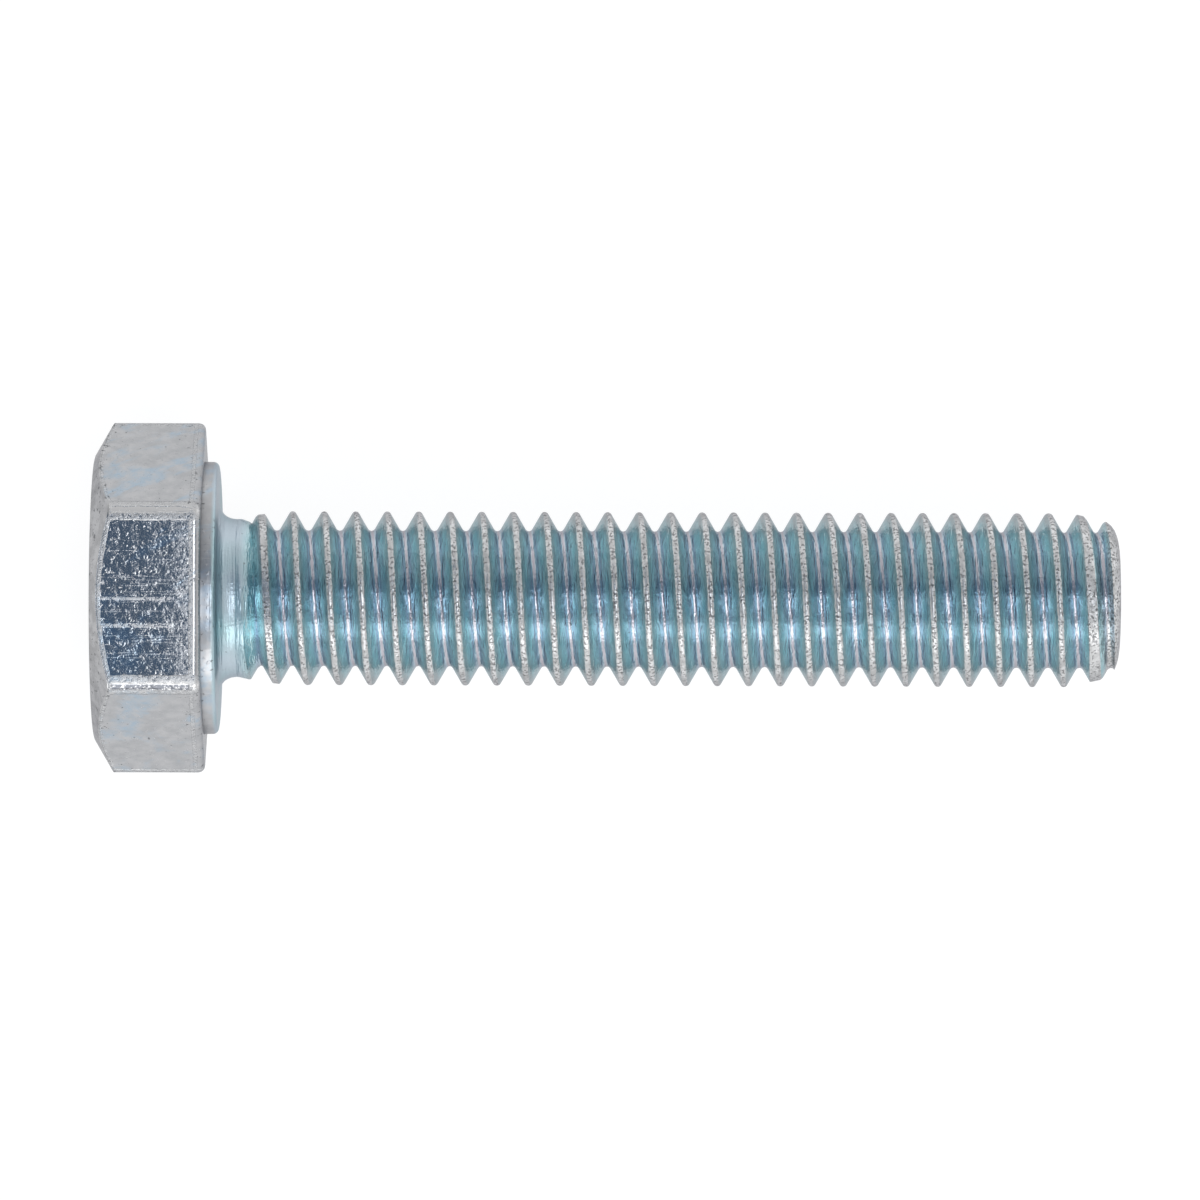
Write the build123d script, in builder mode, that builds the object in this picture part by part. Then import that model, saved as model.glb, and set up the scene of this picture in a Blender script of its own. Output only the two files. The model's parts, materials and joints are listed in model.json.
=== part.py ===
from build123d import *
from math import cos, pi, radians, sin, tan
import os

os.makedirs("parts", exist_ok=True)

# A hexagon head bolt, M4 x 0.7, threaded right up to the head, 20 mm long.
# +X runs along the axis from the head to the tip, the origin is the centre of
# the bearing face, and two flats of the hexagon face +Z and -Z.  Millimetres.

# head
across_flats = 6.85
corner_radius = 0.42
head_height = 2.75
chamfer_angle = 30.0
chamfer_inset = 0.245  # from a flat in to the rim of the end face
end_edge_radius = 0.10
under_edge_radius = 0.15

# washer face under the hexagon
washer_face_inset = 0.40  # from a flat in to the rim of the washer face
washer_face_height = 0.30
washer_face_radius = 0.12

# thread
length = 20.0
pitch = 0.70
major_diameter = 3.865
flank_angle = 60.0
depth_per_pitch = 0.6134
root_radius_per_pitch = 0.130
crest_break_per_pitch = 0.036  # depth of the broken edge beside a crest
crest_break_angle = 30.0
first_groove = 0.934  # the first groove at full depth crosses -Y here
run_out_length = 1.15  # crests rise to full height over this length
groove_run_out_angle = 30.0  # the groove climbs out to the neck on this cone

# neck between the bearing face and the thread
neck_depth = 0.1755  # from the crests in to the neck
neck_length = 0.45
fillet_radius = 0.375

# as-rolled tip
tip_length = 1.15
tip_shoulder_depth = 0.1825  # from the crests in to the shoulder
tip_shoulder_length = 0.25
tip_edge_depth = 0.4425  # from the crests in to the rim of the end plane
tip_edge_width = 0.10
tip_edge_length = 0.06

# how far a cutting shape stands clear of what it cuts
clearance = 0.40
crest_clearance = 0.02

# sizes that follow
flat_radius = across_flats / 2
corner_reach = flat_radius / cos(pi / 6)
rim_radius = flat_radius - chamfer_inset
washer_radius = flat_radius - washer_face_inset
hexagon_base = -washer_face_height
major_radius = major_diameter / 2
thread_depth = depth_per_pitch * pitch
root_edge = major_radius - thread_depth
root_radius = root_radius_per_pitch * pitch
crest_break = crest_break_per_pitch * pitch
half_flank = radians(flank_angle / 2)
neck_radius = major_radius - neck_depth


def groove_corners():
    """Half of the groove's section: offset along the axis and radius, root to top."""
    apex = root_edge - root_radius * (1 / sin(half_flank) - 1)
    flank_start = (root_radius * cos(half_flank), root_edge + root_radius * (1 - sin(half_flank)))
    break_start = ((major_radius - crest_break - apex) * tan(half_flank), major_radius - crest_break)
    top = major_radius + crest_clearance
    widening = (top - break_start[1]) / tan(radians(crest_break_angle))
    return [flank_start, break_start, (break_start[0] + widening, top)]


corners = groove_corners()
crest_width = pitch - 2 * (corners[1][0] + crest_break / tan(radians(crest_break_angle)))
print("crest flat %.3f mm, thread depth %.3f mm" % (crest_width, thread_depth))

# hexagon of the head, joined to the bolt below
with BuildPart() as hexagon:
    with BuildSketch(Plane.YZ.offset(hexagon_base)):
        outline = RegularPolygon(radius=flat_radius, side_count=6, major_radius=False)
        fillet(outline.vertices(), radius=corner_radius)
    extrude(amount=-(head_height - washer_face_height))
    fillet(hexagon.faces().sort_by(Axis.X)[-1].edges(), radius=under_edge_radius)
    # chamfer of the end face, with its rim broken
    reach = corner_reach + clearance
    with BuildSketch(Plane.XY):
        Polygon(
            (-head_height, 0),
            (-head_height, rim_radius - 0.6 * end_edge_radius),
            (-head_height + 0.16 * end_edge_radius, rim_radius),
            (-head_height + tan(radians(chamfer_angle)) * (reach - rim_radius), reach),
            (hexagon_base, reach),
            (hexagon_base, 0),
            align=None,
        )
    revolve(axis=Axis.X, mode=Mode.INTERSECT)

# one turn of the thread groove, starting at +Z over the origin
with BuildPart() as groove_turn:
    with BuildLine() as turn_path:
        Helix(pitch, pitch, root_edge, direction=(1, 0, 0))
    with BuildSketch(Plane(origin=(0, 0, 0), x_dir=(1, 0, 0), z_dir=(0, -1, 0))):
        with BuildLine():
            Polyline(*[(-u, r) for u, r in corners], *[(u, r) for u, r in reversed(corners)])
            ThreePointArc(corners[0], (0, root_edge), (-corners[0][0], corners[0][1]))
        make_face()
    sweep(path=turn_path.line, is_frenet=True)

# the groove climbing out on a cone towards the head, starting at -Z under the origin
with BuildPart() as groove_run_out:
    with BuildLine() as cone_path:
        Helix(pitch, 0.8 * pitch, root_edge, direction=(-1, 0, 0), cone_angle=groove_run_out_angle)
    with BuildSketch(Plane(origin=(0, 0, 0), x_dir=(1, 0, 0), z_dir=(0, 1, 0))):
        with BuildLine():
            Polyline(*[(-u, r) for u, r in corners], *[(u, r) for u, r in reversed(corners)])
            ThreePointArc(corners[0], (0, root_edge), (-corners[0][0], corners[0][1]))
        make_face()
    sweep(path=cone_path.line, is_frenet=True)

# the hex bolt: head, washer face, neck and thread, forged and rolled in one piece
with BuildPart() as hex_bolt:
    # washer face with a rounded rim, fillet, neck, crests rising out of the neck,
    # and the as-rolled tip ending in a blunt edge
    tip_start = length - tip_length
    shoulder = major_radius - tip_shoulder_depth
    shoulder_at = length - tip_shoulder_length
    tip_edge = major_radius - tip_edge_depth
    with BuildSketch(Plane.XY):
        with BuildLine():
            Polyline(
                (length, 0),
                (hexagon_base - 2 * under_edge_radius, 0),
                (hexagon_base - 2 * under_edge_radius, washer_radius),
                (-washer_face_radius, washer_radius),
            )
            RadiusArc(
                (-washer_face_radius, washer_radius),
                (0, washer_radius - washer_face_radius),
                washer_face_radius,
            )
            Line((0, washer_radius - washer_face_radius), (0, neck_radius + fillet_radius))
            RadiusArc((0, neck_radius + fillet_radius), (fillet_radius, neck_radius), -fillet_radius)
            Polyline(
                (fillet_radius, neck_radius),
                (neck_length, neck_radius),
                (neck_length + 0.35 * run_out_length, neck_radius + 0.55 * neck_depth),
                (neck_length + run_out_length, major_radius),
                (tip_start, major_radius),
                (tip_start + 0.55 * (shoulder_at - tip_start), shoulder + 0.3 * tip_shoulder_depth),
                (shoulder_at, shoulder),
                (length - tip_edge_length, tip_edge + tip_edge_width),
                (length, tip_edge),
                (length, 0),
            )
        make_face()
    revolve(axis=Axis.X)

    # thread, right hand, one turn after another until past the tip
    turns = int((length + pitch / 2 - first_groove) / pitch) + 1
    with Locations(*[Location((first_groove + i * pitch, 0, 0), (90, 0, 0)) for i in range(turns)]):
        add(groove_turn.part, mode=Mode.SUBTRACT)
    with Locations(Location((first_groove, 0, 0), (-90, 0, 0))):
        add(groove_run_out.part, mode=Mode.SUBTRACT)

    # head
    add(hexagon.part)

hex_bolt.part.label = "hex_bolt"
export_step(hex_bolt.part, "parts/hex_bolt.step")
box = hex_bolt.part.bounding_box()
print("solids", len(hex_bolt.part.solids()), "faces", len(hex_bolt.part.faces()))
print("valid", hex_bolt.part.is_valid, "volume %.3f mm3" % hex_bolt.part.volume)
print("x %.3f to %.3f" % (box.min.X, box.max.X))
print("y %.3f to %.3f" % (box.min.Y, box.max.Y))
print("z %.3f to %.3f" % (box.min.Z, box.max.Z))
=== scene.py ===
# %% [markdown]
# # A zinc plated hex bolt
# This lesson builds an M4 bolt, 20 mm under the head, threaded right up to it.
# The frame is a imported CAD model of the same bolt: it says where everything is,
# and the finished piece takes its place.

# %% Load the frame
import json
from math import cos, pi, radians, sin, tan

import bpy
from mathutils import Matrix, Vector


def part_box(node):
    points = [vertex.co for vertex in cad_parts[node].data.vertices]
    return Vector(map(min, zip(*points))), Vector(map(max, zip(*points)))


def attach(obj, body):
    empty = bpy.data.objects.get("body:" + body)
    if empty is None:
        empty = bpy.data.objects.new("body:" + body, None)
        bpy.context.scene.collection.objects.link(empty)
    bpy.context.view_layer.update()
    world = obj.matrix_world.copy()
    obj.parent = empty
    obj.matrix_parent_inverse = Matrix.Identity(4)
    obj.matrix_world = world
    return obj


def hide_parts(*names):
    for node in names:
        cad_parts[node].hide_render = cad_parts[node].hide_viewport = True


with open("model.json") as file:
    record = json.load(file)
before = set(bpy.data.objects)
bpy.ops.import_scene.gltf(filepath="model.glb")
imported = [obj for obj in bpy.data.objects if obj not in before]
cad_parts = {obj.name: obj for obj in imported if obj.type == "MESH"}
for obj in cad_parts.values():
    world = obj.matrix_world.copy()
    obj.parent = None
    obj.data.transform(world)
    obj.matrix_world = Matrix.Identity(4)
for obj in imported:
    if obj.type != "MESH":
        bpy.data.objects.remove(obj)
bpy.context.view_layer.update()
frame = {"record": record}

# %% [markdown]
# ## Sizes
# The bolt is small, and some of Blender's tools round off below a tenth of a
# millimetre when one unit is a metre. So the bolt is modelled a thousand times
# larger, one unit to the millimetre, and scaled down at the end, which is also
# how jewellery is modelled by hand. The overall sizes are read from the frame.

# %% Sizes in millimetres
MM = 0.001
low, high = (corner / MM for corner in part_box("hex_bolt"))
mounts = {mount["name"]: mount for mount in frame["record"]["mounts"]}
head_end, tip_end = low.x, high.x
flat_radius = high.z
major_radius = mounts["thread"]["dims"]["r_mm"]
pitch = 0.70
root_edge = major_radius - 0.4294
root_radius = 0.091
crest_radius = 0.078
crest_at_top = 1.634  # one crest crosses the +Y side here
neck_radius = 1.757
washer_radius = 3.025
hexagon_base = -0.30
crest_fall = 1.05  # the crests begin to fall this far from the tip
print("head from %.3f, tip at %.3f" % (head_end, tip_end))
print("flats %.3f and crests %.4f from the axis" % (flat_radius, major_radius))

# %% [markdown]
# ## Two helpers for turned shapes
# Everything on this bolt but the hexagon is turned or rolled, so it is a line
# carried round the X axis. The line is drawn as by hand: a plane is merged to
# one point, and the point is extruded from place to place. The Screw modifier
# then carries the line round, with a pitch for a thread and without for a lathe.

# %% Draw a line, carry it round
STEPS = 96


def only(piece):
    """Selects one object and nothing else."""
    if bpy.context.mode != "OBJECT":
        bpy.ops.object.mode_set(mode="OBJECT")
    bpy.ops.object.select_all(action="DESELECT")
    piece.select_set(True)
    bpy.context.view_layer.objects.active = piece


def edit(piece, mode):
    """Goes into edit mode on one object, with nothing selected in it."""
    only(piece)
    bpy.ops.object.mode_set(mode="EDIT")
    bpy.ops.mesh.select_mode(type=mode)
    bpy.ops.mesh.select_all(action="DESELECT")


def draw_line(name, points):
    """A line through (x, radius) points in the XY plane."""
    bpy.ops.object.select_all(action="DESELECT")
    bpy.ops.mesh.primitive_plane_add(size=0.1, location=(points[0][0], points[0][1], 0))
    line = bpy.context.object
    line.name = name
    bpy.ops.object.transform_apply(location=True, rotation=True, scale=True)
    edit(line, "VERT")
    bpy.ops.mesh.select_all(action="SELECT")
    bpy.ops.mesh.merge(type="CENTER")
    for (x0, r0), (x1, r1) in zip(points, points[1:]):
        bpy.ops.mesh.extrude_vertices_move(TRANSFORM_OT_translate={"value": (x1 - x0, r1 - r0, 0)})
    only(line)
    return line


def apply(piece, kind, **settings):
    """Adds a modifier, sets it and applies it."""
    only(piece)
    modifier = piece.modifiers.new(kind.title(), kind)
    for key, value in settings.items():
        setattr(modifier, key, value)
    bpy.ops.object.modifier_apply(modifier=modifier.name)


def carry_round(line, rise=0.0, turns=1):
    """Turns a line into a surface round the X axis, right-handed where it rises."""
    settings = {"steps": STEPS, "render_steps": STEPS, "screw_offset": rise, "iterations": turns}
    apply(line, "SCREW", axis="X", angle=2 * pi, **settings)
    edit(line, "VERT")
    bpy.ops.mesh.select_all(action="SELECT")
    bpy.ops.mesh.remove_doubles(threshold=0.0005)
    bpy.ops.mesh.normals_make_consistent(inside=False)
    only(line)
    return line


# %% [markdown]
# ## The thread
# The thread is rolled: hard dies press the groove in and squeeze the crests up,
# so crests and roots are both rounded. One groove, from crest to crest, is the
# line to draw: half a rounded crest, a flank at 30 degrees, the root's arc, and
# the same again the other way. A rise of one pitch for each turn makes each
# turn's edge land on the next one's, where merging closes it.

# %% Draw one groove and screw it along
apex = root_edge - root_radius  # where the two flanks would meet
crest_centre = (crest_radius + major_radius - apex) * tan(pi / 6)
crest_arc = [
    (
        crest_centre - crest_radius * sin(radians(a)),
        major_radius - crest_radius + crest_radius * cos(radians(a)),
    )
    for a in (0, 20, 40, 60)
]
root_arc = [
    (root_radius * sin(radians(a)), root_edge + root_radius * (1 - cos(radians(a))))
    for a in (60, 30, 0)
]
top, bottom = crest_arc[-1], root_arc[0]
flank = [
    (top[0] + (bottom[0] - top[0]) * t, top[1] + (bottom[1] - top[1]) * t)
    for t in (0.25, 0.5, 0.75)
]
right_half = [(pitch / 2, major_radius)] + crest_arc + flank + root_arc
groove = [(-u, r) for u, r in right_half] + [(u, r) for u, r in reversed(right_half[:-1])]
first_crest = crest_at_top - 3 * pitch
thread_line = draw_line("thread_line", [(first_crest + pitch / 2 + u, r) for u, r in groove])
shank = carry_round(thread_line, rise=pitch, turns=30)
shank.name = "shank"
print("groove of", len(groove), "points; thread of", len(shank.data.polygons), "faces")
on_crest = major_radius - 0.0005
crests_at_y = sorted(v.co.x for v in shank.data.vertices if v.co.y > on_crest)
crests_at_z = sorted(v.co.x for v in shank.data.vertices if v.co.z > on_crest)
print("crests at +Y from %.3f, every %.3f" % (crests_at_y[0], crests_at_y[1] - crests_at_y[0]))
print("a quarter turn on, at +Z, from %.3f" % crests_at_z[0])

# %% [markdown]
# ## Where the thread begins and ends
# A thread doesn't start at full height. Near the head the crests rise out of
# the neck and the groove climbs out to it, and at the tip the crests sink to a
# blunt point. Two turned shapes say how far out and how far in the thread may
# go, and the Shrinkwrap modifier moves only the points that are past them. A
# boolean would do it too, but leaves slivers that show in polished metal.

# %% Limit the thread at both ends
CLEAR = 0.004  # stands this far off the crests where it doesn't limit them
outer_limit = carry_round(
    draw_line(
        "outer_limit",
        [
            (-3.0, neck_radius),
            (0.45, neck_radius),
            (0.85, neck_radius + 0.0965),
            (1.60, major_radius + CLEAR),
            (tip_end - crest_fall, major_radius + CLEAR),
            (tip_end - 0.80, major_radius - 0.058),
            (tip_end - 0.60, major_radius - 0.120),
            (tip_end - 0.25, major_radius - 0.195),
            (tip_end + 0.80, major_radius - 0.280),
        ],
    )
)
inner_limit = carry_round(
    draw_line(
        "inner_limit",
        [
            (-3.0, neck_radius),
            (0.60, neck_radius),
            (0.934, root_edge),
            (1.60, root_edge - 0.4),
            (4.0, 0.6),
        ],
    )
)


def outward(piece):
    """True if an open tube's faces point away from the axis."""
    return sum(f.normal.y * f.center.y + f.normal.z * f.center.z for f in piece.data.polygons) > 0


for tube in (outer_limit, inner_limit, shank):
    if not outward(tube):
        edit(tube, "FACE")
        bpy.ops.mesh.select_all(action="SELECT")
        bpy.ops.mesh.flip_normals()
        only(tube)
    print(tube.name, "faces outwards:", outward(tube))

for limit, side_kept in ((inner_limit, "OUTSIDE"), (outer_limit, "INSIDE")):
    apply(shank, "SHRINKWRAP", target=limit, wrap_method="NEAREST_SURFACEPOINT", wrap_mode=side_kept)
    only(limit)
    bpy.ops.object.delete()


def radius_span(piece, x, half=0.1):
    """Smallest and largest radius of the points near x."""
    found = [(v.co.y ** 2 + v.co.z ** 2) ** 0.5 for v in piece.data.vertices if abs(v.co.x - x) < half]
    return min(found), max(found)


for x in (0.4, 0.9, 1.6, 10.0, 19.3, 19.7):
    print("radius near %.1f: %.3f to %.3f" % ((x,) + radius_span(shank, x)))

# %% [markdown]
# ## Square ends
# The screwed surface ends in two steps, one at each end. Bisect cuts it with a
# plane: a little past the tip the cut is filled, to be trimmed later, and at
# the neck it is left open, because the neck grows from that ring.

# %% Cut the tip and the neck
NECK_CUT = 0.42
SPARE = 0.40  # left past the tip, for the blank that trims it
edit(shank, "EDGE")
for cut, settings in (
    (tip_end + SPARE, {"use_fill": True, "clear_outer": True}),
    (NECK_CUT, {"clear_inner": True}),
):
    bpy.ops.mesh.select_all(action="SELECT")
    bpy.ops.mesh.bisect(plane_co=(cut, 0, 0), plane_no=(1, 0, 0), threshold=0.0001, **settings)
only(shank)


def span(piece, axis=0):
    """Lowest and highest place of a piece's points along one axis."""
    places = [v.co[axis] for v in piece.data.vertices]
    return min(places), max(places)


print("shank from %.3f to %.3f" % span(shank))

# %% [markdown]
# ## Neck, fillet and washer face
# Between head and thread is a short neck with a faint mark from the tool, a
# fillet that keeps the head from snapping off, and the washer face, a flat disc
# that stands a little proud of the hexagon. The open ring is extruded and
# scaled from place to place, as a potter pulls a wall.

# %% Pull the ring along the turned line
fillet = 0.375
rim = 0.12
tool_mark = 0.006  # depth of the mark on the neck
turned = [(0.412, neck_radius - tool_mark), (0.400, neck_radius - tool_mark), (0.390, neck_radius)]
turned += [
    (fillet - fillet * sin(radians(a)), neck_radius + fillet - fillet * cos(radians(a)))
    for a in (0, 15, 30, 36, 42, 60, 75, 90)
]
turned += [(0.0, neck_radius + fillet + 0.04), (0.0, washer_radius - rim - 0.04)]
turned += [
    (rim * cos(radians(a)) - rim, washer_radius - rim + rim * sin(radians(a)))
    for a in (0, 22.5, 45, 67.5, 90)
]
turned += [(-0.20, washer_radius), (-0.90, washer_radius)]

edit(shank, "VERT")
only(shank)
for v in shank.data.vertices:
    v.select = abs(v.co.x - NECK_CUT) < 0.0002
bpy.ops.object.mode_set(mode="EDIT")
bpy.ops.mesh.select_mode(type="EDGE")
x, r = NECK_CUT, neck_radius
for to_x, to_r in turned:
    bpy.ops.mesh.extrude_region_move(TRANSFORM_OT_translate={"value": (to_x - x, 0, 0)})
    bpy.ops.transform.resize(value=(1, to_r / r, to_r / r), center_override=(to_x, 0, 0))
    x, r = to_x, to_r
bpy.ops.mesh.edge_face_add()
bpy.ops.mesh.select_all(action="SELECT")
bpy.ops.mesh.normals_make_consistent(inside=False)
only(shank)
print("shank now from %.3f, widest %.3f" % (span(shank)[0], span(shank, axis=2)[1]))

# %% [markdown]
# ## The head
# The head is forged to a hexagon, so its corners are round. It starts as a six
# sided cylinder lying along X, with two flats up and down. Its long edges are
# bevelled, then the edge on the bearing side, and a turned blank with a 30
# degree chamfer cuts the outer end: where the cone meets the flats it leaves
# the arcs that every hex bolt shows.

# %% Hexagon with round corners
corner_round = 0.42
base_round = 0.15
bpy.ops.object.select_all(action="DESELECT")
bpy.ops.mesh.primitive_cylinder_add(
    vertices=6,
    radius=flat_radius / cos(pi / 6),
    depth=hexagon_base - head_end,
    location=((hexagon_base + head_end) / 2, 0, 0),
    rotation=(0, pi / 2, 0),
)
head = bpy.context.object
head.name = "head"
bpy.ops.object.transform_apply(location=True, rotation=True, scale=True)


def pick_edges(piece, test):
    """Selects the edges whose two ends pass the test, and goes into edit mode."""
    edit(piece, "EDGE")
    only(piece)
    for v in piece.data.vertices:
        v.select = False
    for f in piece.data.polygons:
        f.select = False
    count = 0
    for e in piece.data.edges:
        a, b = (piece.data.vertices[i].co for i in e.vertices)
        e.select = test(a, b)
        count += e.select
    bpy.ops.object.mode_set(mode="EDIT")
    return count


corners = pick_edges(head, lambda a, b: abs(a.x - b.x) > 1)
bpy.ops.mesh.bevel(offset=corner_round * tan(pi / 6), offset_type="OFFSET", segments=6, profile=0.5)
base_edges = pick_edges(head, lambda a, b: min(a.x, b.x) > hexagon_base - 0.01)
bpy.ops.mesh.bevel(offset=base_round, offset_type="OFFSET", segments=4, profile=0.5)
only(head)
print(corners, "corners and", base_edges, "base edges rounded")
print("across the corners %.3f" % (2 * span(head, axis=1)[1]))

# %% Chamfer the outer end
rim_radius = flat_radius - 0.245
rim_drop = 0.016  # the end's rim is broken, so the chamfer starts a little lower
reach = 4.4  # past the corners
chamfer_blank = carry_round(
    draw_line(
        "chamfer_blank",
        [
            (head_end, 0.0),
            (head_end, 1.0),
            (head_end, 2.2),
            (head_end, rim_radius - 0.06),
            (head_end + rim_drop, rim_radius),
            (head_end + rim_drop + (reach - rim_radius) * tan(pi / 6), reach),
            (0.5, reach),
            (0.5, 0.0),
        ],
    )
)
apply(head, "BOOLEAN", operation="INTERSECT", object=chamfer_blank, solver="EXACT")
only(chamfer_blank)
bpy.ops.object.delete()
edit(head, "EDGE")
bpy.ops.mesh.edges_select_sharp(sharpness=radians(40))
bpy.ops.mesh.bevel(offset=0.045, offset_type="OFFSET", segments=3, profile=0.5, clamp_overlap=True)
only(head)
print("head of", len(head.data.polygons), "faces, from %.3f" % span(head)[0])

# %% [markdown]
# ## One solid
# A turned blank trims the tip to length and rounds its rim, which is what
# shearing and rolling leave. Head and shank are one forging, so a boolean union
# joins them, and the part of the washer face that was pulled into the head goes.

# %% Round the tip
tip_blank = carry_round(
    draw_line(
        "tip_blank",
        [
            (-2.0, 0.0),
            (-2.0, 3.4),
            (tip_end - 0.50, 3.4),
            (tip_end - 0.27, 1.740),
            (tip_end - 0.17, 1.660),
            (tip_end - 0.10, 1.560),
            (tip_end - 0.05, 1.440),
            (tip_end - 0.020, 1.330),
            (tip_end, 1.200),
            (tip_end, 0.0),
        ],
    )
)
apply(shank, "BOOLEAN", operation="INTERSECT", object=tip_blank, solver="EXACT")
only(tip_blank)
bpy.ops.object.delete()
print("tip at %.3f" % span(shank)[1])

# %% Join head and shank
apply(shank, "BOOLEAN", operation="UNION", object=head, solver="EXACT")
only(head)
bpy.ops.object.delete()
shank.name = "zinc_bolt"
bolt = shank
edit(bolt, "VERT")
bpy.ops.mesh.select_all(action="SELECT")
bpy.ops.mesh.remove_doubles(threshold=0.0008)
bpy.ops.mesh.normals_make_consistent(inside=False)
only(bolt)
edit(bolt, "EDGE")
bpy.ops.mesh.select_non_manifold(extend=False)
only(bolt)
faults = sum(e.select for e in bolt.data.edges)
print("bolt of", len(bolt.data.polygons), "faces; open or shared edges:", faults)

# %% [markdown]
# ## Nicks
# Bolts are tumbled, plated and shipped in bulk, so the crests pick up nicks.
# A few points at a time are selected round a spot and pushed in, and a little
# along, as a knock does. Sculpting would do it too, but is hard to repeat.

# %% Nick the crests
NICK_DRAG = 0.006  # how far a nick's points are pushed along the bolt


def nick(number, turn, reach, depth):
    """Pushes in the points round a spot, which is a crest's number and a share of a turn."""
    a = 2 * pi * turn
    x = crest_at_top + (number + turn) * pitch
    centre = (x, major_radius * cos(a), major_radius * sin(a))
    only(bolt)
    for part in (bolt.data.polygons, bolt.data.edges):
        part.foreach_set("select", [False] * len(part))
    count = 0
    for v in bolt.data.vertices:
        v.select = sum((p - q) ** 2 for p, q in zip(v.co, centre)) < reach ** 2
        count += v.select
    if count:
        bpy.ops.object.mode_set(mode="EDIT")
        bpy.ops.transform.translate(value=(NICK_DRAG, -depth * cos(a), -depth * sin(a)))
        only(bolt)
    return count


nicks = [(2, 0.26, 0.13, 0.020), (5, 0.20, 0.16, 0.030), (8, 0.31, 0.12, 0.022)]
nicks += [(11, 0.16, 0.15, 0.028), (14, 0.28, 0.12, 0.020), (17, 0.23, 0.16, 0.026)]
nicks += [(20, 0.33, 0.14, 0.030), (22, 0.18, 0.12, 0.022), (4, 0.62, 0.16, 0.03)]
nicks += [(9, 0.80, 0.15, 0.03), (13, 0.55, 0.16, 0.03), (19, 0.93, 0.15, 0.03)]
print("points moved in each nick:", [nick(*spot) for spot in nicks])

# %% [markdown]
# ## Shading and true size
# Faces shade smoothly across shallow edges only, and Weighted Normal keeps the
# flats flat beside their rounded corners. Then the bolt is scaled to metres,
# it is told which body it rides on, and the CAD node it replaces is hidden.

# %% Shade and bring down to size
only(bolt)
bpy.ops.object.shade_smooth_by_angle(angle=radians(38))
apply(bolt, "WEIGHTED_NORMAL", mode="FACE_AREA_WITH_ANGLE", keep_sharp=True, weight=50)
only(bolt)
bpy.ops.transform.resize(value=(MM, MM, MM), center_override=(0, 0, 0))
bpy.ops.object.transform_apply(location=True, rotation=True, scale=True)
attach(bolt, "root")
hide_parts("hex_bolt")
print("triangles:", sum(len(f.vertices) - 2 for f in bolt.data.polygons))
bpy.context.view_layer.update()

# %% [markdown]
# ## Reckoning with sockets
# A finish is sums on coordinates: how far from the axis, how far round, how far
# along. Wired by hand that is dozens of Math nodes, so one small class wraps a
# socket, and Python's own operators add the nodes.

# %% The Wire class


class Wire:
    """An output socket of a node tree; + - * / ** on it add Math nodes."""

    def __init__(self, tree, socket=None):
        self.tree, self.socket = tree, socket

    def node(self, kind, settings=(), out=0, **sockets):
        """Adds any node: settings first, then values or links. s0, s1 are sockets by number."""
        made = self.tree.nodes.new(kind)
        for key, value in dict(settings).items():
            if key == "stops":
                ramp = made.color_ramp
                while len(ramp.elements) < len(value):
                    ramp.elements.new(0.5)
                for stop, (place, colour) in zip(ramp.elements, value):
                    stop.position, stop.color = place, (*colour, 1)
            else:
                setattr(made, key, value)
        for key, value in sockets.items():
            numbered = key[0] == "s" and key[1:].isdigit()
            socket = made.inputs[int(key[1:]) if numbered else key.replace("_", " ")]
            if isinstance(value, Wire):
                self.tree.links.new(value.socket, socket)
            elif socket.type == "RGBA":
                socket.default_value = (*value, 1)
            else:
                socket.default_value = value
        return Wire(self.tree, made.outputs[out] if made.outputs else None)

    def maths(self, operation, *others):
        values = {"s%d" % i: value for i, value in enumerate((self, *others))}
        return self.node("ShaderNodeMath", {"operation": operation}, **values)

    def flipped(self, operation, other):
        return self.node("ShaderNodeMath", {"operation": operation}, s0=other, s1=self)

    def __add__(self, other):
        return self.maths("ADD", other)

    def __sub__(self, other):
        return self.maths("SUBTRACT", other)

    def __mul__(self, other):
        return self.maths("MULTIPLY", other)

    def __truediv__(self, other):
        return self.maths("DIVIDE", other)

    def __pow__(self, other):
        return self.maths("POWER", other)

    def __radd__(self, other):
        return self.flipped("ADD", other)

    def __rsub__(self, other):
        return self.flipped("SUBTRACT", other)

    def __rmul__(self, other):
        return self.flipped("MULTIPLY", other)

    def __rtruediv__(self, other):
        return self.flipped("DIVIDE", other)

    def rise(self, start, end):
        """0 up to start, 1 from end on, smooth between. With start above end it falls."""
        ends = (start, end, 0.0, 1.0) if start < end else (end, start, 1.0, 0.0)
        smooth = {"interpolation_type": "SMOOTHSTEP"}
        sockets = {"s%d" % i: value for i, value in enumerate((self, *ends))}
        return self.node("ShaderNodeMapRange", smooth, **sockets)

    def choose(self, colour_0, colour_1):
        """A colour between two, with this socket as the share of the second."""
        return self.node("ShaderNodeMix", {"data_type": "RGBA"}, out=2, s0=self, s6=colour_0, s7=colour_1)

    def stretch(self, x, y, z):
        """This vector with each direction multiplied."""
        return self.node("ShaderNodeVectorMath", {"operation": "MULTIPLY"}, s0=self, s1=(x, y, z))

    def noise(self, scale, detail=2.0, roughness=0.5, distortion=0.0):
        """A cloudy value from 0 to 1, mostly near 0.5, on this vector."""
        sockets = {"Scale": scale, "Detail": detail, "Roughness": roughness, "Distortion": distortion}
        return self.node("ShaderNodeTexNoise", Vector=self, **sockets)


# %% [markdown]
# ## Bright zinc
# The bolt is steel with a thin, bright coat of zinc, dipped in a bath that
# leaves a film of changing thickness: silver on the crests where it is rubbed,
# blue-green on the flanks and lilac in the roots, where it stays thickest. The
# film follows the groove. An unwrapped map would have a seam along the helix, so
# the material works out where it is from the coordinates: the radius, and how
# far round and along.

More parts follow.
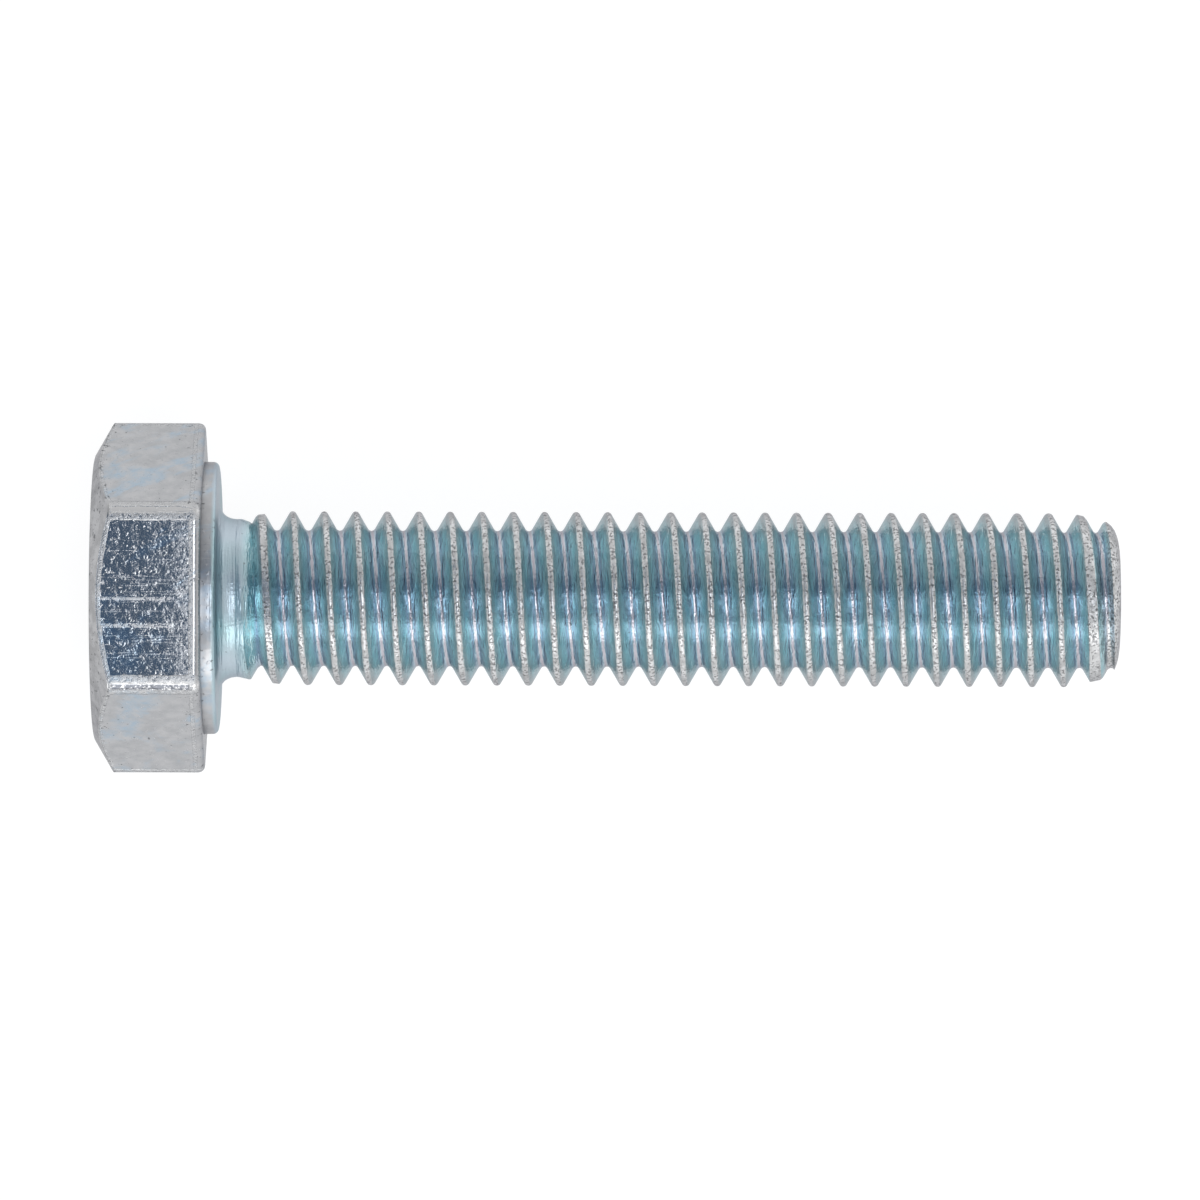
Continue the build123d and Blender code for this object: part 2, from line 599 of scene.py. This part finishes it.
# %% Where on the bolt
zinc = bpy.data.materials.new("bright_zinc")
zinc.use_nodes = True
zinc.node_tree.nodes.clear()
start = Wire(zinc.node_tree)
place = start.node("ShaderNodeTexCoord", out=3)
place = start.node("ShaderNodeMapping", Vector=place, Scale=(1 / MM, 1 / MM, 1 / MM))
along = start.node("ShaderNodeSeparateXYZ", out=0, Vector=place)
side = start.node("ShaderNodeSeparateXYZ", out=1, Vector=place)
up = start.node("ShaderNodeSeparateXYZ", out=2, Vector=place)
radius = (side * side + up * up) ** 0.5
turn = up.maths("ARCTAN2", side) / (2 * pi)
height = (radius - root_edge) / (major_radius - root_edge)  # 0 in a root, 1 on a crest
turns_along = (along - crest_at_top) / pitch - turn  # whole on every crest
from_crest = ((turns_along + 0.5).maths("FRACT") - 0.5).maths("ABSOLUTE")  # in pitches
on_thread = along.rise(0.45, 0.75)
on_head = along.rise(-0.02, -0.12)

# %% [markdown]
# ## Edges of the flats
# Every flat of the head has a bright, rough line round it, where the forging
# die and the other bolts in the tumbler have rubbed, and its lighter colour is
# partly a painted highlight, the glint of the rounded edges. The six flats are
# alike, so the angle is folded into one sixth of a turn, and the distance from
# the middle of the flat is the same sum for all six.

# %% Masks on the head
sixth = ((turn * 6.0).maths("FRACT") - 0.5) * (pi / 3)
sideways = (radius * sixth.maths("SINE")).maths("ABSOLUTE")
from_chamfer = along - (head_end + rim_drop) - (radius - rim_radius) * tan(pi / 6)
on_chamfer = from_chamfer.rise(0.05, 0.015)
on_flat = (1 - on_chamfer) * along.rise(-0.30, -0.33)
corner_line = sideways.rise(1.66, 1.74) * sideways.rise(1.92, 1.84) * (1 - on_chamfer)
on_corner = sideways.rise(1.80, 1.88) * (1 - on_chamfer) * on_flat
chamfer_line = from_chamfer.rise(0.14, 0.065)
base_line = along.rise(-0.56, -0.52) * along.rise(-0.43, -0.47)
rubbed_strip = along.rise(-1.05, -0.62)
edge_line = corner_line.maths("MAXIMUM", chamfer_line).maths("MAXIMUM", base_line) * on_flat

# %% [markdown]
# ## Patterns
# Nothing on a plated bolt is even. Noise at a few scales gives it: clouds of a
# millimetre or two, grain of a tenth, and dimples finer still. Stretched noise
# gives marks that run one way. A pattern image would do it too, but would have
# to be drawn, and would stretch over the thread.

# %% Noise at every scale
fine = place.noise(13.0, 3.0, 0.65)
coarse = place.noise(3.2, 3.0, 0.6)
cloud = place.noise(0.55, 2.0, 0.5, 0.4)
speck = place.noise(8.5, 2.0, 0.7)
dimples = place.noise(17.0, 2.0, 0.55)
drawn = place.stretch(12.0, 2.2, 2.2).noise(1.0, 2.0, 0.6)
streaks = drawn.rise(0.42, 0.60)
rings = place.stretch(9.0, 0.5, 0.5).noise(1.0, 3.0, 0.6)
scratch = place.stretch(0.30, 7.0, 7.0).noise(1.3, 3.0, 0.6)
crystals = place.noise(10.5, 3.0, 0.72)
broken = fine.rise(0.40, 0.58)
grain = coarse - 0.5  # to shift an edge both ways

# %% Worn edges with painted edge glints, and frost on the head
edge_line = (edge_line + grain * 1.4).rise(0.35, 0.80) * edge_line.rise(0.0, 0.3)
on_top_flat = up.rise(3.30, 3.36) * along.rise(-0.86, -0.98)
drag_marks = (side + 0.02).maths("ABSOLUTE").rise(0.050, 0.015)
drag_marks = (drag_marks + (side + 0.61).maths("ABSOLUTE").rise(0.060, 0.020)) * on_top_flat
# Lighter frost crystals and scratch marks, and along the edges of the flats a lighter colour that is
# partly rubbed wear and partly a painted highlight of the edge glints.
frost_and_edge_glint = crystals.rise(0.63, 0.70).maths("MAXIMUM", (edge_line + drag_marks) * broken) * on_flat

# %% Crests, flanks and roots
fall_at = tip_end - crest_fall
fallen = (radius - major_radius + (along - fall_at) * 0.25).rise(-0.034, -0.014)
fallen = fallen * along.rise(fall_at - 0.05, fall_at + 0.05)
widened = along.rise(1.45, 0.90) * 0.05  # the first crest is broader
ragged = from_crest - widened + (fine - 0.5) * 0.10 + grain * 0.07
crest = ragged.rise(0.105, 0.065) * along.rise(0.72, 0.95)
tip_rim = along.rise(tip_end - 0.36, tip_end - 0.26)
crest = crest.maths("MAXIMUM", tip_rim).maths("MAXIMUM", fallen)
rubbed = (height + grain * 0.25).rise(0.50, 0.86) * on_thread
root = (height + grain * 0.03).rise(0.040, 0.004) * on_thread
root_side = height.rise(0.24, 0.10) * (1 - root) * on_thread

# %% [markdown]
# ## Colours
# A metal's colour is what it sends back from a mirror, so these are pale. In the
# groove the light bounces three times and takes the colour each time, which
# makes the flanks deep without a deep colour. Each mask then chooses between
# what is there so far and its own colour, as layers are laid on each other.

# %% Colours of the film
silver_stops = [(0.34, (0.46, 0.465, 0.465)), (0.60, (0.70, 0.705, 0.71))]
silver = start.node("ShaderNodeValToRGB", {"stops": silver_stops}, Fac=coarse)
flank_blue = coarse.rise(0.35, 0.65).choose((0.395, 0.60, 0.645), (0.46, 0.655, 0.695))
flank_blue = (streaks * 0.30).choose(flank_blue, (0.66, 0.80, 0.84))
film = (root_side * 0.5).choose(flank_blue, (0.45, 0.50, 0.64))
film = root.choose(film, (0.50, 0.485, 0.535))
film = (rubbed * 0.75).choose(film, (0.42, 0.45, 0.455))
crest_pits = (dimples + grain * 0.3).rise(0.53, 0.60)
thread_colour = crest.choose(film, (crest_pits * 0.70).choose(silver, (0.12, 0.122, 0.125)))
neck_colour = cloud.rise(0.35, 0.65).choose((0.40, 0.56, 0.60), (0.48, 0.56, 0.62))
shank_colour = on_thread.choose(neck_colour, thread_colour)
print("film colours laid on neck and thread")

# %% Colours of the head
lean = start.node(
    "ShaderNodeCombineXYZ",
    X=(along * 0.9 + side * 0.42) * 0.5,
    Y=(along * 0.42 - side * 0.9) * 2.4,
    Z=up * 0.8,
)
streak = lean.noise(0.9, 4.0, 0.6, 0.5)
blotch = place.noise(0.75, 4.0, 0.6, 0.3)
blue_share = side.rise(-0.4, 0.4).maths("MULTIPLY", streak - blotch) + blotch
head_colour = (blue_share.rise(0.48, 0.62) * 0.8).choose((0.42, 0.427, 0.437), (0.375, 0.48, 0.575))
head_colour = coarse.rise(0.30, 0.75).choose(head_colour, (0.50, 0.502, 0.51))
chamfer_grey = coarse.rise(0.35, 0.65).choose((0.38, 0.382, 0.386), (0.50, 0.502, 0.508))
head_colour = on_chamfer.choose(head_colour, chamfer_grey)
# Lighter rounded corners: rubbed wear, and partly a painted highlight along them.
head_colour = (on_corner * 0.80).choose(head_colour, (0.66, 0.66, 0.66))
# Painted shade: a near-black band along one corner only, where the top flat meets the flat on the -Y
# side.
corner_painted_shade = side.rise(-1.885, -1.915) * side.rise(-2.06, -2.02) * up.rise(2.6, 2.7)
corner_painted_shade = corner_painted_shade * along.rise(-0.42, -0.50) * on_flat
head_colour = (corner_painted_shade * fine.rise(0.36, 0.50) * 0.85).choose(head_colour, (0.09, 0.10, 0.125))
# The frost colour also lightens the edges of every flat, partly as a painted highlight.
head_colour = (frost_and_edge_glint * 0.6).choose(head_colour, (0.60, 0.605, 0.61))
pale = on_head.choose(shank_colour, head_colour)
near_base = along.rise(-0.85, -0.35) * along.rise(-0.2, -0.3)
near_edge = from_chamfer.rise(0.40, 0.0) * 0.075 + near_base * 0.06 - up.rise(3.2, 3.4) * 0.05
specks = (speck + near_edge).rise(0.68, 0.74) * 0.75
colour = specks.choose(pale, (0.10, 0.105, 0.11))

# %% [markdown]
# ## Relief
# The zinc grows as tiny crystals over forged steel, so a flat is a mirror with
# thousands of dimples: dark where it looks at a dark ceiling, with a bright
# glint in each dimple. Bump gives the dimples, and scratches run along the
# flats from the trimming die. The crests are rougher than the flanks. Specular
# Tint is below white, which darkens the metal towards its outline.

# %% Relief
RELIEF = 0.008 * MM  # height of a relief of 1
pits = place.noise(8.0, 2.0, 0.6).rise(0.62, 0.71)
head_relief = frost_and_edge_glint * 0.42 + pits * 0.45 + dimples * 0.12 + coarse * 0.7
head_relief = head_relief + scratch.rise(0.58, 0.70) * 0.25 + edge_line * fine * 1.8
on_neck = 1 - on_thread
smooth_relief = dimples + streaks * (0.9 - on_neck * 0.6) + coarse * 0.4 + on_neck * rings * 4.0
shank_relief = crest * (fine * 1.5 + crest_pits * 0.5) + (1 - crest) * smooth_relief
relief = on_head * head_relief + (1 - on_head) * shank_relief
normal = start.node("ShaderNodeBump", Strength=1.0, Distance=RELIEF, Height=relief)

# %% Roughness, and the finished material
on_rim = along.rise(-0.34, -0.28) * along.rise(0.02, -0.04)
head_dull = 0.088 + frost_and_edge_glint * 0.28 + rubbed_strip * broken * 0.10 * on_flat
head_dull = head_dull + on_chamfer * 0.16 + on_rim * 0.24
shank_dull = 0.18 + 0.08 * cloud + crest * 0.05 + on_neck * 0.10
dull = on_head * head_dull + (1 - on_head) * shank_dull
metal = start.node(
    "ShaderNodeBsdfPrincipled",
    Base_Color=colour,
    Metallic=1.0,
    Roughness=dull,
    Specular_Tint=(0.55, 0.55, 0.57),
    Normal=normal,
)
start.node("ShaderNodeOutputMaterial", Surface=metal)
bolt.data.materials.clear()
bolt.data.materials.append(zinc)
print("bright zinc of", len(zinc.node_tree.nodes), "nodes")

# %% [markdown]
# ## Floor
# The lowest flat of the head lies on a plain white table, lit so evenly that it
# shows next to no shadow, as a table with light under it does. A sheet of paper
# would do too, but a glowing table also lights the bolt from below.

# %% White table
TABLE_SIZE = 3.4
bpy.ops.object.select_all(action="DESELECT")
bpy.ops.mesh.primitive_plane_add(size=TABLE_SIZE, location=(0, 0, low.z * MM))
table = bpy.context.object
table.name = "table"
white = bpy.data.materials.new("white_table")
white.use_nodes = True
white.node_tree.nodes.clear()
paint = Wire(white.node_tree)
board = paint.node(
    "ShaderNodeBsdfPrincipled",
    Base_Color=(0.20, 0.20, 0.20),
    Roughness=0.7,
    Emission_Color=(1, 1, 1),
    Emission_Strength=0.86,
)
paint.node("ShaderNodeOutputMaterial", Surface=board)
table.data.materials.append(white)
print("table at %.3f" % low.z)

# %% [markdown]
# ## Studio
# Polished metal shows the room, so the room is most of the look. The sky is
# pale near the table and dark overhead, one soft box hangs almost above the
# thread and makes the bright bar along it, and a wide one stands to the front.

# %% Room and lamps
room = bpy.data.worlds.new("studio")
room.use_nodes = True
room.node_tree.nodes.clear()
air = Wire(room.node_tree)
look = air.node("ShaderNodeTexCoord", out=0)
rising = air.node("ShaderNodeSeparateXYZ", out=2, Vector=look)
sky_stops = [
    (0.0, (0.95, 0.95, 0.95)),
    (0.30, (0.78, 0.78, 0.79)),
    (0.74, (0.70, 0.71, 0.73)),
    (0.82, (0.36, 0.40, 0.45)),
    (0.90, (0.14, 0.19, 0.27)),
    (1.0, (0.10, 0.16, 0.25)),
]
sky = rising.node("ShaderNodeValToRGB", {"stops": sky_stops}, Fac=rising)
backdrop = air.node("ShaderNodeBackground", Color=sky, Strength=1.0)
air.node("ShaderNodeOutputWorld", Surface=backdrop)
bpy.context.scene.world = room


def soft_box(name, centre, towards, width, depth, power):
    """A rectangular lamp of that size in metres, facing a point."""
    lamp = bpy.data.lights.new(name, "AREA")
    lamp.shape, lamp.size, lamp.size_y, lamp.energy = "RECTANGLE", width, depth, power
    box = bpy.data.objects.new(name, lamp)
    bpy.context.scene.collection.objects.link(box)
    box.location = centre
    away = Vector(centre) - Vector(towards)
    box.rotation_euler = away.to_track_quat("Z", "Y").to_euler()
    box.visible_camera = False
    return box


over = soft_box("overhead_box", (0.203, -0.112, 0.80), (0.203, -0.112, 0.0), 0.40, 0.495, power=1.75)
front = soft_box("front_box", (0.02, -0.78, 0.50), (0.01, 0.0, 0.0), 1.30, 0.50, power=3.2)
print("lamps:", over.name, front.name)

# %% [markdown]
# ## Camera
# The camera hangs straight above the bolt with a long lens, and is near enough
# for the side of the washer face that looks along the bolt to show as a sliver.
# The lens follows from that distance and the width to be seen.

# %% Long lens overhead
SENSOR = 36.0
DISTANCE = 0.235
VIEW_WIDTH = 26.68 * MM  # at the height of the bolt's axis
VIEW_CENTRE = (8.47 * MM, -0.022 * MM)
VIEW_ROLL = radians(0.16)
camera = bpy.data.cameras.new("overhead")
camera.sensor_width = SENSOR
camera.lens = SENSOR * DISTANCE / VIEW_WIDTH
camera.clip_start, camera.clip_end = 0.01, 5.0
eye = bpy.data.objects.new("overhead", camera)
bpy.context.scene.collection.objects.link(eye)
eye.location = (*VIEW_CENTRE, DISTANCE)
eye.rotation_euler = (0, 0, VIEW_ROLL)
bpy.context.scene.camera = eye
bpy.context.scene.view_settings.view_transform = "Standard"
print("lens %.1f mm" % camera.lens)
